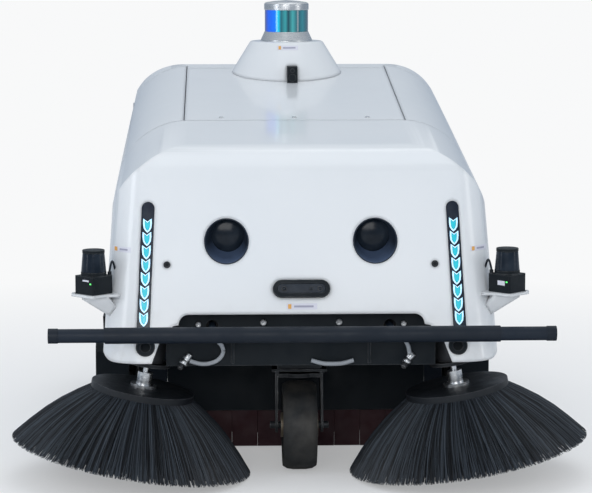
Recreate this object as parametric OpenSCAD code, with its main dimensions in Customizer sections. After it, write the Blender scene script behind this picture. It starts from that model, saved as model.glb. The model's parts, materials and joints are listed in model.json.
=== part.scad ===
// Outdoor sweeping robot. Front faces -Y, +X to the right seen from the front, +Z up.
// The origin is on the ground, at the middle of the plan.

/* [Body] */
// Height of the roof line above the origin
roof_z = 779; // [770:1:785]
// Slope of the roof, rising to the rear, in degrees
roof_pitch = 6.8; // [6.4:0.1:7]
// Backward lean of the front face, in degrees
face_lean = 18; // [15:0.5:20]
// Inward lean of the side walls, in degrees
side_lean = 3.4; // [2.5:0.1:4]
// Half width of the flat part of the roof
roof_flat = 250; // [245:1:255]
// Radius of the roof shoulders
shoulder_r = 170; // [160:1:175]
// Radius of the bend between face and roof
brow_r = 110; // [90:1:130]
// Radius of the front corners in plan
corner_r = 90; // [70:1:100]
// Height of the lower edge of the covers
skirt_z = 275; // [272:1:285]
// Wall thickness of the covers
wall = 4; // [3:0.5:5]
// Gap along the seams between covers
seam = 2; // [1.5:0.5:3]

/* [Brushes] */
// Distance of each brush hub from the centre plane
hub_x = 350; // [345:1:355]
// Height of the brush hub
hub_z = 195; // [195:1:197]
// Tilt of the brush axis, in degrees
brush_tilt = 10; // [9:0.5:10]
// Radius of the brush plate
plate_r = 115; // [100:1:116]
// Radius swept by the bristle tips
tip_r = 270; // [250:1:270]

/* [Wheels] */
// Radius of the drive wheels
drive_r = 128; // [120:1:130]
// Radius of the caster wheel
caster_r = 100; // [95:1:102]
// Distance from swivel axis to caster wheel axis
caster_trail = 44; // [40:1:46]

/* [Bumper] */
// Half length of the bumper bar with its end caps
bar_half = 546; // [530:1:550]
// Height of the bumper bar
bar_z = 345; // [340:1:350]

/* [Sensors] */
// Radius of the round headlamp openings
eye_r = 49; // [45:1:52]
// Distance of the headlamps from the centre plane
eye_x = 163; // [155:1:170]
// Height of the headlamps
eye_z = 531; // [525:1:540]
// Height of the stereo camera
camera_z = 430; // [425:1:435]
// Radius of the top lidar window
lidar_r = 56; // [50:1:60]

/* [Hidden] */
$fn = 96;

far = 2000;              // longer than any side of the machine
fit = 0.05;              // radial running clearance of every pivot
face_y = -575;           // place of the front face at height face_z
face_z = 353;
rear_y = 695;            // rear face of the covers
rear_r = 70;             // rounding of the rear corners and rear roof edge
seam_y = -120;           // seam between front cover and doors
rear_seam_y = 600;       // seam between doors and rear surround
side_seam_x = 258;       // seams along the roof
skirt_r = 30;            // rounding of the lower edges
led_w = 28;              // width of the light strips
led_x = 334;             // top of the light strips
led_top = 615;
led_lean = 2.4;          // lean of the light strips, in degrees
led_pitch = 28.2;        // spacing of the light elements
lens_r = 37.4;           // headlamp lenses, set off towards the top of their openings
lens_in = 3;
lens_up = 7;
pod_y = 520;             // centre of the pod and of the top lidar
pod_top = 920;
deck_z = 330;            // underside of the main rails
deck_h = 40;
deck_top = deck_z + deck_h + 2;   // top of the floor plate
rail_x = 260;
rail_w = 40;
bar_y = -645;
bar_r = 15;
sleeve_r = 17.5;
sleeve_half = 425;
guide_x = 195;
guide_r = 8;
hub_y = -470;
arm_y = -250;            // pivot of the brush arms
arm_z = 300;
pin_r = 6;
bristle_len = 150;
caster_y = -370;         // swivel axis of the caster
caster_top = 229;
kingpin_r = 10;
wheel_y = 300;           // axle of the drive wheels
wheel_x = 386;           // inner face of the drive wheels
wheel_w = 70;
roller_y = -45;
roller_z = 150;
roller_r = 145;
roller_half = 280;
bin_x = 225;
fan_y = 445;
hinge_x = 205;           // door hinge, in the sloped frame of the roof
hinge_h = -25;
hinge_r = 5;
estop_x = 180;
estop_z = 600;
low_sensor_x = 340;      // round sensors in the face
low_sensor_z = 310;
high_sensor_x = 293;
high_sensor_z = 482;
tail_x = 330;            // tail lamps
tail_z = 530;
lidar_x = 453;           // side lidars
lidar_y = -524;
lidar_z = 419;

// Height of the roof surface at y
function roof_at(y) = roof_z + y * tan(roof_pitch);
// Place of the front face at height z
function face_at(z) = face_y + (z - face_z) * tan(face_lean);
// Half width of the covers at a depth h under the roof
function side_at(h) = roof_flat + shoulder_r * cos(side_lean)
    + (h - shoulder_r + shoulder_r * sin(side_lean)) * tan(side_lean);

// Points of an arc about c, from angle a0 to a1
function arc(c, r, a0, a1, n) = [for (i = [0:n])
    let(a = a0 + (a1 - a0) * i / n) c + r * [cos(a), sin(a)]];
// The same points mirrored about the vertical axis, in reverse order
function mirrored(points) = [for (i = [len(points) - 1:-1:0]) [-points[i][0], points[i][1]]];

// ---- shared construction ----

// Puts children into the sloped frame of the roof: y along the slope, z = 0 on the roof
module on_roof() {
    translate([0, 0, roof_z]) rotate([roof_pitch, 0, 0]) children();
}

// Puts children on the front face: y into the body, z up along the face
module on_face(x, z) {
    translate([x, face_at(z), z]) rotate([-face_lean, 0, 0]) children();
}

// Extrudes a front-view outline (x, z) along Y, from y0 to y1
module front_prism(y0, y1) {
    translate([0, y1, 0]) rotate([90, 0, 0]) linear_extrude(y1 - y0) children();
}

// Extrudes a side-view outline (y, z) along X, from x0 to x1
module side_prism(x0, x1) {
    translate([x0, 0, 0]) rotate([90, 0, 90]) linear_extrude(x1 - x0) children();
}

module both_sides() {
    children();
    mirror([1, 0, 0]) children();
}

module rod_x(r, x0, x1) {
    translate([x0, 0, 0]) rotate([0, 90, 0]) cylinder(r = r, h = x1 - x0);
}

module rod_y(r, y0, y1) {
    translate([0, y0, 0]) rotate([-90, 0, 0]) cylinder(r = r, h = y1 - y0);
}

// Box given by its two corners
module block(a, b) {
    translate(a) cube(b - a);
}

// Upright rounded rectangle, centred, exact arcs
module round_rect(w, h, r) {
    square([w - 2 * r, h], center = true);
    square([w, h - 2 * r], center = true);
    for (sx = [-1, 1], sy = [-1, 1])
        translate([sx * (w / 2 - r), sy * (h / 2 - r)]) circle(r);
}

// ---- outer form of the covers, t below the surface ----

module roof_section(t) {
    r = shoulder_r - t;
    depth = 750;
    shoulder = arc([roof_flat, -shoulder_r], r, side_lean, 90, 24);
    out = shoulder[0][0] + (depth + shoulder[0][1]) * tan(side_lean);
    half = concat([[out, -depth]], shoulder);
    polygon(concat(half, mirrored(half)));
}

module tunnel(t) {
    on_roof() front_prism(-far, far) roof_section(t);
}

// Side view: leaning face, round brow, sloping roof, round rear edge
module side_outline(t) {
    turn = 90 - face_lean - roof_pitch;
    reach = brow_r * tan(turn / 2);
    slope = tan(roof_pitch);
    lean = tan(face_lean);
    top_z = (roof_z + (face_y - face_z * lean) * slope) / (1 - slope * lean);
    top_y = face_at(top_z);
    cy = top_y + reach * cos(roof_pitch) + brow_r * sin(roof_pitch);
    cz = top_z + reach * sin(roof_pitch) - brow_r * cos(roof_pitch);
    rear_reach = rear_r * tan((90 + roof_pitch) / 2);
    rear_c = [rear_y - rear_r, roof_at(rear_y) - rear_reach];
    low = skirt_z - 100;
    polygon(concat(
        [[face_at(low) + t / cos(face_lean), low]],
        arc([cy, cz], brow_r - t, 180 - face_lean, 90 + roof_pitch, 16),
        arc(rear_c, rear_r - t, 90 + roof_pitch, 0, 16),
        [[rear_y - t, low]]));
}

// Quarter plan with one rounded corner at (w, 0), walls diverging by a small angle
module corner_plan(w, r, t, spread) {
    corner = arc([w - r, r], r - t, -90, -spread, 16);
    polygon(concat([[-far, t]], corner,
        [corner[16] + far * [sin(spread), cos(spread)], [-far, far]]));
}

module corner_prism(t) {
    spread = atan(tan(side_lean) * tan(roof_pitch));
    slack = 0.3;
    w = side_at(roof_at(face_y) - face_z) + slack;
    translate([0, face_y - slack, face_z]) rotate([-face_lean, 0, 0])
        rotate([0, -side_lean, 0]) linear_extrude(far, center = true)
        corner_plan(w, corner_r, t, spread);
}

module rear_prism(t) {
    spread = atan(tan(side_lean) * tan(roof_pitch));
    slack = 0.3;
    w = side_at(roof_at(rear_y) - face_z) + slack;
    translate([0, rear_y + slack, face_z]) mirror([0, 1, 0]) rotate([0, -side_lean, 0])
        linear_extrude(far, center = true) corner_plan(w, rear_r, t, -spread);
}

// Front view of the lower edge, with rounded lower corners
module skirt_outline() {
    half = side_at(roof_at(0) - skirt_z - skirt_r) + 1;
    side = concat(arc([half - skirt_r, skirt_z + skirt_r], skirt_r, -90, 0, 8),
        [[far, skirt_z + skirt_r], [far, far]]);
    polygon(concat(side, mirrored(side)));
}

module form(t) {
    intersection() {
        tunnel(t);
        side_prism(-far, far) side_outline(t);
        corner_prism(t);
        mirror([1, 0, 0]) corner_prism(t);
        rear_prism(t);
        mirror([1, 0, 0]) rear_prism(t);
    }
}

// The cover wall, open below
module skin() {
    intersection() {
        difference() {
            form(0);
            form(wall);
        }
        front_prism(-far, far) skirt_outline();
    }
}

// ---- frame and covers ----

module chassis_frame() {
    top = deck_z + deck_h;
    ear_x = 354;
    color("dimgray") difference() {
        union() {
            both_sides() block([rail_x - rail_w / 2, -460, deck_z], [rail_x + rail_w / 2, 650, top]);
            block([-rail_x - 20, -500, deck_z - 5], [rail_x + 20, -460, top]);
            block([-400, arm_y - 25, deck_z], [400, arm_y + 25, top]);
            block([-rail_x, 620, deck_z], [rail_x, 660, top]);
            block([-rail_x + 18, -455, deck_top - 8], [rail_x - 18, 621, deck_top]);
            block([-60, -461, deck_z - 8], [60, arm_y - 24, deck_z + 4]);
            block([-50, caster_y - 50, caster_top], [50, caster_y + 50, deck_z]);
            both_sides() block([ear_x - 18, arm_y - 12, arm_z - 16], [ear_x, arm_y + 12, deck_z + 1]);
            both_sides() translate([0, arm_y, arm_z]) rod_x(pin_r, ear_x - 32, ear_x + 14);
        }
        both_sides() translate([guide_x, 0, bar_z]) rod_y(guide_r + fit, -501, -459);
    }
}

// Roof beams on posts, with the hinge pins of the doors
module roof_frame() {
    post_x = 170;
    color("gray") {
        for (y = [-85, 560]) intersection() {
            both_sides() block([post_x - 9, y, deck_top + 1], [post_x + 9, y + 22, far]);
            on_roof() block([-far, -far, -far], [far, far, -14]);
        }
        for (y = [-85, 560])
            block([-rail_x - 15, y, deck_top], [rail_x + 15, y + 24, deck_top + 12]);
        on_roof() both_sides() {
            block([post_x - 12, -100, -36], [post_x + 12, 592, -13]);
            for (y = [-75, 535]) {
                block([post_x, y, hinge_h - 8], [hinge_x + 8, y + 8, hinge_h + 8]);
                translate([hinge_x, 0, hinge_h]) rod_y(hinge_r, y + 4, y + 30);
            }
        }
    }
}

module eye_bores(r) {
    both_sides() translate([eye_x, 0, eye_z]) rod_y(r, -far, -300);
}

// Front view of one light strip, upright stadium turned to follow the side wall
module led_outline(grow) {
    h = 280;
    r = led_w / 2 + grow;
    translate([led_x, led_top - led_w / 2]) rotate(led_lean) {
        circle(r);
        translate([-r, -h + led_w / 2]) square([2 * r, h - led_w / 2]);
    }
}

// Opening for the black front panel, rounded at the top
module recess_outline() {
    r = 22;
    top = 377;
    half = 268;
    side = [[334, skirt_z - 20], [303, 335], [half + 12, face_z], [half + 1, top - r]];
    polygon(concat(side, mirrored(side)));
    translate([-half + r, top - r]) square([2 * (half - r), r]);
    for (s = [-1, 1]) translate([s * (half - r), top - r]) circle(r);
}

module front_cover() {
    color("white") difference() {
        intersection() {
            skin();
            block([-far, -far, 0], [far, seam_y - seam / 2, far]);
        }
        front_prism(-far, -300) recess_outline();
        eye_bores(eye_r);
        both_sides() front_prism(-far, -300) led_outline(0.3);
        both_sides() on_face(low_sensor_x, low_sensor_z) rod_y(21, -30, 30);
        both_sides() on_face(high_sensor_x, high_sensor_z) rod_y(7.6, -20, 20);
        on_face(0, camera_z) front_prism(-20, 20) camera_outline(125, 39);
    }
}

module spine_panel() {
    color("white") difference() {
        intersection() {
            skin();
            block([-side_seam_x, seam_y + seam / 2, 0], [side_seam_x, rear_y - rear_r - 60, far]);
        }
        for (x = [-172, 0, 172]) on_roof() translate([x, -90, -20]) cylinder(r = 3, h = 40);
    }
}

module rear_surround() {
    ry = rear_y - rear_r - 60 + seam;
    color("white") difference() {
        intersection() {
            skin();
            union() {
                block([-far, rear_seam_y + seam / 2, 0], [far, far, far]);
                block([-side_seam_x, ry, 500], [side_seam_x, far, far]);
            }
        }
        block([-far, 0, 600], [far, ry, far]);
        block([-bin_x - 17, 600, 0], [bin_x + 17, far, 333]);
        translate([estop_x, 0, estop_z]) rod_y(14 + fit, 600, far);
        tow_slot(1);
        stays(1);
        both_sides() front_prism(rear_y - 30, rear_y + 30) translate([tail_x, tail_z])
            round_rect(34, 150, 10);
    }
}

// Half of the roof and one side wall, on gooseneck arms that clear the spine panel
module door() {
    reach = 72;
    arm_w = 14;
    color("white") intersection() {
        skin();
        block([side_seam_x + seam, seam_y + seam / 2, 0], [far, rear_seam_y - seam / 2, far]);
    }
    color("gray") on_roof() for (y = [-66, 544]) {
        difference() {
            union() {
                translate([hinge_x, 0, hinge_h]) rod_y(11, y, y + 18);
                block([hinge_x - arm_w / 2, y, hinge_h - reach - arm_w / 2],
                    [hinge_x + arm_w / 2, y + 18, hinge_h]);
                block([hinge_x - arm_w / 2, y, hinge_h - reach - arm_w / 2],
                    [roof_flat + 149.5, y + 18, hinge_h - reach + arm_w / 2]);
            }
            translate([hinge_x, 0, hinge_h]) rod_y(hinge_r + fit, y - 1, y + 19);
        }
    }
}

module door_right() { door(); }
module door_left() { mirror([1, 0, 0]) door(); }

// Three panel screws on the roof
module cover_screws() {
    color("silver") for (x = [-172, 0, 172]) on_roof() translate([x, -90, -12]) {
        cylinder(r = 2.9, h = 12);
        translate([0, 0, 12]) cylinder(r = 5.5, h = 2);
    }
}

// ---- pod and top lidar ----

module pod_profile(t) {
    r_top = 97;
    slope = 50 / 85;
    round_r = 9;
    low = 780;
    polygon(concat([[0, pod_top - t]],
        arc([r_top - round_r, pod_top - round_r], round_r - t, 90, atan(slope), 6),
        [[r_top - t + (pod_top - low) * slope, low], [0, low]]));
}

module pod_form(t) {
    translate([0, pod_y, 0]) rotate_extrude($fn = 128) pod_profile(t);
}

module sensor_pod() {
    color("white") difference() {
        pod_form(0);
        pod_form(wall);
        form(0);
        pod_camera_box();
    }
}

module pod_camera_box() {
    block([-3, 350, 790], [23, 402, 862]);
}

module pod_camera() {
    color("#15181c") {
        difference() {
            pod_camera_box();
            form(0);
        }
        translate([10, 0, 834]) rod_y(9, 345, 351);
        translate([10, 0, 852]) rod_y(5, 347, 351);
    }
}

module top_lidar_base() {
    color("silver") translate([0, pod_y, pod_top]) rotate_extrude($fn = 128)
        polygon([[0, 0], [67, 0], [66, 4], [lidar_r + 2, 21], [lidar_r + 1, 24], [0, 24]]);
}

module top_lidar_window() {
    color("#27465c") translate([0, pod_y, pod_top + 24]) cylinder(r = lidar_r, h = 56, $fn = 128);
}

module top_lidar_cap() {
    r = lidar_r + 1.5;
    color("silver") translate([0, pod_y, pod_top + 80]) rotate_extrude($fn = 128)
        polygon(concat([[0, 0], [r, 0], [r, 14]],
            [for (a = [0:15:90]) [r - 10 + 10 * cos(a), 14 + 6 * sin(a)]],
            [[r - 26, 22.5], [0, 25]]));
}

// ---- lights and sensors in the face ----

module headlamp_housings() {
    rim = eye_r - 0.2;
    color("#3a4450") both_sides() intersection() {
        form(1.5);
        translate([eye_x, 0, eye_z]) difference() {
            rod_y(rim, -far, -452);
            rod_y(rim - 3.5, -far, -470);
            translate([-lens_in, 0, lens_up]) rod_y(lens_r + 0.2, -480, -451);
        }
    }
}

module headlamp_lenses() {
    color("#0d1116") both_sides() translate([eye_x - lens_in, 0, eye_z + lens_up]) {
        rod_y(lens_r, -472, -454);
        intersection() {
            translate([0, -375, 0]) sphere(r = 105);
            rod_y(lens_r, -500, -471);
        }
    }
}

module led_bars() {
    color("#10151f") both_sides() intersection() {
        difference() {
            form(1);
            form(9);
        }
        front_prism(-far, -300) led_outline(0);
    }
}

// One downward shield element of the light strip, notched for the point of the next one
module chevron() {
    w = 9.3;
    polygon([[-w, 15.5], [0, 9], [w, 15.5], [w, 2], [0.8 * w, -6], [0, -14.5], [-0.8 * w, -6],
        [-w, 2]]);
}

module led_chevrons() {
    color("#4fd8e0") both_sides() intersection() {
        difference() {
            form(0.2);
            form(1);
        }
        front_prism(-far, -300) for (i = [0:7])
            let(drop = 36.7 + i * led_pitch)
            translate([led_x + drop * tan(led_lean), led_top - led_w / 2 - drop]) chevron();
    }
}

module range_sensors() {
    color("#101214") both_sides() {
        on_face(high_sensor_x, high_sensor_z) difference() {
            rod_y(7.4, -1.5, 18);
            rod_y(5, -2, 2);
        }
        on_face(low_sensor_x, low_sensor_z) difference() {
            rod_y(20, 2, 24);
            rod_y(11, 0, 12);
        }
    }
}

module camera_outline(w, h) {
    square([w - h, h], center = true);
    for (s = [-1, 1]) translate([s * (w - h) / 2, 0]) circle(h / 2);
}

module camera_housing() {
    color("#14181d") on_face(0, camera_z) difference() {
        front_prism(-9, 22) camera_outline(124, 38);
        front_prism(-10, -5) camera_outline(106, 21);
    }
}

module camera_glass() {
    color("#0a0d12") on_face(0, camera_z) front_prism(-8, -5) camera_outline(105.6, 20.6);
}

module front_panel() {
    color("#10201f") difference() {
        union() {
            block([-296, -530, 257], [296, -524, 384]);
            for (x = [-150, 150]) block([x - 3, -534, 262], [x + 3, -529, 330]);
            block([-296, -526, 374], [296, -500, 380]);
        }
        both_sides() translate([guide_x, 0, bar_z]) rod_y(14, -540, -510);
    }
}

// ---- side lidars ----

module lidar_place() {
    both_sides() translate([lidar_x, lidar_y, lidar_z]) children();
}

// Shelf with a gusset that runs down to the side wall
module sensor_brackets() {
    color("white") both_sides() difference() {
        union() {
            translate([lidar_x, lidar_y, lidar_z - 6]) rotate(45) linear_extrude(6)
                round_rect(74, 74, 8);
            block([395, lidar_y - 24, lidar_z - 6], [lidar_x, lidar_y + 24, lidar_z]);
            hull() {
                translate([lidar_x - 4, lidar_y, lidar_z - 8]) cube([58, 46, 4], center = true);
                translate([398, lidar_y + 14, lidar_z - 58]) cube([20, 20, 2], center = true);
            }
        }
        form(-0.2);
    }
}

module side_lidar_bodies() {
    color("#262a30") {
        lidar_place() rotate(45) linear_extrude(40) round_rect(60, 60, 5);
        lidar_place() translate([0, 0, 39]) cylinder(r = 28, h = 9);
        lidar_place() translate([0, 0, 89]) cylinder(r = 24.5, h = 7);
        lidar_place() translate([-34.5, 0, 39]) cylinder(r = 4.5, h = 9);
    }
}

module side_lidar_windows() {
    color("#0c0f12") lidar_place() translate([0, 0, 48]) cylinder(r1 = 27.5, r2 = 24, h = 41);
}

// ---- bumper ----

module bumper_tube() {
    color("#10161f") {
        translate([0, bar_y, bar_z]) rod_x(bar_r, -bar_half + 8, bar_half - 8);
        both_sides() translate([guide_x, 0, bar_z]) rod_y(guide_r, bar_y + 10, -470);
    }
}

// Thicker rubber sleeve on the middle of the bar
module bumper_sleeve() {
    color("#141b26") difference() {
        translate([0, bar_y, bar_z]) rod_x(sleeve_r, -sleeve_half, sleeve_half);
        translate([0, bar_y, bar_z]) rod_x(bar_r, -sleeve_half - 1, sleeve_half + 1);
        both_sides() translate([guide_x, 0, bar_z]) rod_y(guide_r + 1, bar_y, -600);
    }
}

module bumper_end_caps() {
    color("#1b222c") both_sides() translate([0, bar_y, bar_z]) difference() {
        rod_x(bar_r + 1.2, bar_half - 21, bar_half);
        rod_x(bar_r, bar_half - 22, bar_half - 8);
    }
}

// ---- side brushes, built for the right side ----

// Frame of one brush hub: z along the tilted axis
module at_hub() {
    translate([hub_x, hub_y, hub_z]) rotate([0, -brush_tilt, 0]) children();
}

// Arm from the pivot on the chassis to the motor plate
module brush_arm() {
    color("#4a4f55") difference() {
        union() {
            at_hub() translate([0, 0, 58]) cylinder(r = 52, h = 8);
            block([325, -432, 256], [365, arm_y + 14, 268]);
            for (x = [325, 358])
                block([x, arm_y - 16, 257], [x + 7, arm_y + 14, arm_z + 14]);
            block([325, -432, 262], [331, arm_y, 282]);
        }
        translate([0, arm_y, arm_z]) rod_x(pin_r + fit, 320, 370);
        at_hub() cylinder(r = 12, h = 80);
    }
}

module brush_motor() {
    color("#2b2f35") at_hub() translate([0, 0, 66]) difference() {
        union() {
            cylinder(r = 36, h = 84);
            translate([0, 0, 84]) cylinder(r = 31, h = 26);
        }
        translate([0, 0, -1]) cylinder(r = pin_r + fit, h = 37);
    }
}

// Flange, clamp collar with its screw, and shaft
module brush_hub() {
    color("silver") at_hub() {
        translate([0, 0, 6]) cylinder(r = 29, h = 6);
        translate([0, 0, 12]) cylinder(r = 16.5, h = 27);
        cylinder(r = pin_r, h = 100);
        translate([0, 0, 26]) rotate([90, 0, 0]) cylinder(r = 4, h = 19);
    }
}

module brush_plate() {
    color("#1a1f27") at_hub() difference() {
        union() {
            translate([0, 0, -6]) cylinder(r = plate_r - 4, h = 12, $fn = 128);
            translate([0, 0, -11]) cylinder(r = plate_r, h = 17, $fn = 128);
        }
        translate([0, 0, -12]) cylinder(r = plate_r - 17, h = 6);
        cylinder(r = pin_r, h = 20);
    }
}

module brush_bristles() {
    color("#1d2430") at_hub() rotate_extrude($fn = 128) polygon([
        [plate_r - 1, -11], [tip_r, -bristle_len], [tip_r - 30, -bristle_len],
        [plate_r - 16, -11]]);
}

module brush_arm_right() { brush_arm(); }
module brush_arm_left() { mirror([1, 0, 0]) brush_arm(); }
module brush_motor_right() { brush_motor(); }
module brush_motor_left() { mirror([1, 0, 0]) brush_motor(); }
module brush_hub_right() { brush_hub(); }
module brush_hub_left() { mirror([1, 0, 0]) brush_hub(); }
module brush_plate_right() { brush_plate(); }
module brush_plate_left() { mirror([1, 0, 0]) brush_plate(); }
module brush_bristles_right() { brush_bristles(); }
module brush_bristles_left() { mirror([1, 0, 0]) brush_bristles(); }

// ---- caster ----

module caster_plate() {
    color("gray") translate([0, caster_y, caster_top - 6]) {
        difference() {
            translate([-62, -55, 0]) cube([124, 110, 6]);
            cylinder(r = kingpin_r - 2, h = 20, center = true);
        }
        translate([0, 0, -16]) cylinder(r = kingpin_r, h = 17);
        for (sx = [-1, 1], sy = [-1, 1])
            translate([sx * 50, sy * 44, -5]) cylinder(r = 7, h = 5.5, $fn = 6);
    }
}

module caster_fork() {
    axle_y = caster_y - caster_trail;
    color("#3a3a3a") difference() {
        union() {
            translate([0, caster_y, 206]) cylinder(r = 42, h = 9);
            block([-54, caster_y - 34, 206], [54, caster_y + 30, 215]);
            both_sides() side_prism(48, 54) {
                polygon([[caster_y + 30, 214], [caster_y - 34, 214], [axle_y - 17, caster_r],
                    [axle_y + 17, caster_r]]);
                translate([axle_y, caster_r]) circle(17);
            }
            translate([0, axle_y, caster_r]) rod_x(8, -66, 66);
        }
        translate([0, caster_y, 200]) cylinder(r = kingpin_r + fit, h = 20);
    }
}

module caster_wheel() {
    color("#55504a") translate([0, caster_y - caster_trail, caster_r]) difference() {
        union() {
            rod_x(28, -42, 42);
            rod_x(caster_r - 30, -10, 10);
            difference() {
                rod_x(caster_r - 30, -32, 32);
                rod_x(caster_r - 38, -33, 33);
            }
        }
        rod_x(8 + fit, -45, 45);
    }
}

module caster_tyre() {
    r = caster_r;
    color("#1c1d1f") translate([0, caster_y - caster_trail, r]) rotate([0, 90, 0])
        rotate_extrude($fn = 128) polygon([[r - 30, -32], [r - 22, -38], [r - 8, -38],
            [r - 2, -28], [r, -14], [r, 14], [r - 2, 28], [r - 8, 38], [r - 22, 38],
            [r - 30, 32]]);
}

// ---- drive wheels ----

module drive_wheel() {
    r = drive_r;
    w = wheel_w;
    color("#202226") translate([wheel_x, wheel_y, r]) rotate([0, 90, 0]) {
        rotate_extrude($fn = 128) polygon([[r - 45, 4], [r - 12, 0], [r - 3, 6], [r, 16],
            [r, w - 16], [r - 3, w - 6], [r - 12, w], [r - 45, w - 4]]);
        difference() {
            translate([0, 0, 8]) cylinder(r = r - 44, h = w - 16);
            translate([0, 0, 50]) cylinder(r = r - 54, h = 20);
            translate([0, 0, -1]) cylinder(r = 20 + fit, h = 42);
        }
    }
}

module drive_wheel_right() { drive_wheel(); }
module drive_wheel_left() { mirror([1, 0, 0]) drive_wheel(); }

// Motors on hanger plates, each with the stub axle of its wheel
module wheel_motors() {
    color("#3c4046") both_sides() {
        translate([0, wheel_y, drive_r]) {
            rod_x(52, 270, wheel_x - 4);
            rod_x(20, 260, wheel_x + 38);
        }
        block([262, wheel_y - 50, 70], [271, wheel_y + 50, deck_z]);
    }
}

// ---- sweeping roller ----

module roller_housing() {
    half = roller_half + 20;
    color("#1b1f24") difference() {
        block([-half, -200, 90], [half, 112, 310]);
        block([-half + 5, -194, 80], [half - 5, 120, 303]);
        translate([0, roller_y, roller_z]) rod_x(12 + fit, -half - 1, half + 1);
    }
    color("#1b1f24") block([-half + 20, -150, 309], [half - 20, 60, deck_z]);
}

module front_flap() {
    color("#5a1418") block([-330, -198, 4], [330, -192, 89.9]);
}

module roller_core() {
    color("#8a8f94") translate([0, roller_y, roller_z]) {
        rod_x(40, -roller_half, roller_half);
        rod_x(12, -roller_half - 24, roller_half + 24);
    }
}

module roller_bristles() {
    color("#20262c") translate([0, roller_y, roller_z]) difference() {
        rod_x(roller_r, -roller_half, roller_half);
        rod_x(40, -roller_half - 1, roller_half + 1);
    }
}

// ---- debris bin ----

module hopper_bin() {
    color("#3d434a") difference() {
        block([-bin_x, 130, 90], [bin_x, 690, 318]);
        block([-bin_x + 4, 120, 94], [bin_x - 4, 684, 330]);
    }
}

// Rear face of the bin with its pull handle
module hopper_fascia() {
    color("#23272d") {
        difference() {
            block([-bin_x - 14, 690, 86], [bin_x + 14, 702, 328]);
            translate([0, 680, 230]) rotate([-90, 0, 0]) linear_extrude(30)
                round_rect(150, 60, 14);
        }
        block([-88, 699, 252], [88, 716, 272]);
    }
}

// ---- inside ----

module battery_pack() {
    color("#2f5d8a") block([-220, -20, deck_top], [220, 330, 560]);
}

module control_computer() {
    color("#6f777f") {
        block([-150, -400, deck_top], [150, -120, 440]);
        for (i = [0:13]) block([-140 + i * 20, -390, 439], [-134 + i * 20, -130, 458]);
    }
}

// Open drum with an inlet in its floor, crossed by the bar that holds the axle
module fan_housing() {
    color("#4b5057") translate([0, fan_y, deck_top]) {
        difference() {
            cylinder(r = 104, h = 90);
            translate([0, 0, 6]) cylinder(r = 98, h = 90);
            translate([0, 0, -1]) cylinder(r = 30, h = 20);
        }
        block([-60, -6, 1], [60, 6, 5]);
        translate([0, 0, 1]) cylinder(r = 5, h = 60);
    }
}

module fan_impeller() {
    color("#9aa1a8") translate([0, fan_y, deck_top + 14]) difference() {
        union() {
            cylinder(r = 22, h = 44);
            cylinder(r = 92, h = 4);
            for (i = [0:8]) rotate(i * 40) block([18, -2, 3], [90, 2, 34]);
        }
        translate([0, 0, -1]) cylinder(r = 5 + fit, h = 50);
    }
}

// ---- sills, hoses, rear ----

module side_sills() {
    color("#14171a") both_sides() {
        difference() {
            side_prism(398, 478) translate([360, 130]) round_rect(680, 170, 26);
            side_prism(390, 470) translate([360, 130]) round_rect(660, 150, 18);
            translate([0, wheel_y, drive_r]) rod_x(drive_r + 16, 380, 490);
        }
        for (y = [125, 600]) {
            block([rail_x + 10, y, 214], [440, y + 24, 224]);
            block([rail_x + 10, y, 214], [rail_x + 20, y + 24, deck_z]);
        }
    }
}

// Round hose along a list of points
module hose(points, r) {
    for (i = [0:len(points) - 2]) hull() {
        translate(points[i]) sphere(r = r, $fn = 14);
        translate(points[i + 1]) sphere(r = r, $fn = 14);
    }
}

// Sagging loop in front of the front panel
module hose_loop(x, half, drop) {
    hose([for (a = [0:30:180]) [x - half * cos(a), -535 - 10 * sin(a), 266 - drop * sin(a)]], 4.5);
}

module hoses() {
    color("#8c9399") {
        hose_loop(20, 45, 22);
        both_sides() hose_loop(268, 22, 20);
    }
}

module tow_slot(grow) {
    block([-20 - grow, 600, 359 - grow], [20 + grow, 800, 371 + grow]);
}

// Rubber strip on two stays that reach the rear cross beam
module stays(grow) {
    both_sides() block([205 - grow, 660, 350 - grow], [235 + grow, 700, 380 + grow]);
}

module rear_bumper() {
    color("#1b1f24") difference() {
        union() {
            translate([0, 704, 365]) linear_extrude(46, center = true) round_rect(640, 16, 6);
            stays(0);
        }
        tow_slot(1);
    }
}

// Forged eye with an upright pin bore
module tow_eye() {
    reach = 725.5;
    color("#b03a2a") difference() {
        union() {
            translate([0, reach, 359]) cylinder(r = 14.5, h = 12);
            block([-14.5, 660, 359], [14.5, reach, 371]);
        }
        translate([0, reach, 350]) cylinder(r = 8.25, h = 30);
    }
}

module tail_lamps() {
    color("#8f1a1a") both_sides() intersection() {
        difference() {
            form(0.5);
            form(14);
        }
        front_prism(600, far) translate([tail_x, tail_z]) round_rect(33.6, 149.6, 10);
    }
}

module estop_button() {
    color("#c0161c") translate([estop_x, 0, estop_z]) {
        rod_y(14, rear_y - 30, rear_y + 12);
        rod_y(24, rear_y + 11, rear_y + 24);
    }
}

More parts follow.
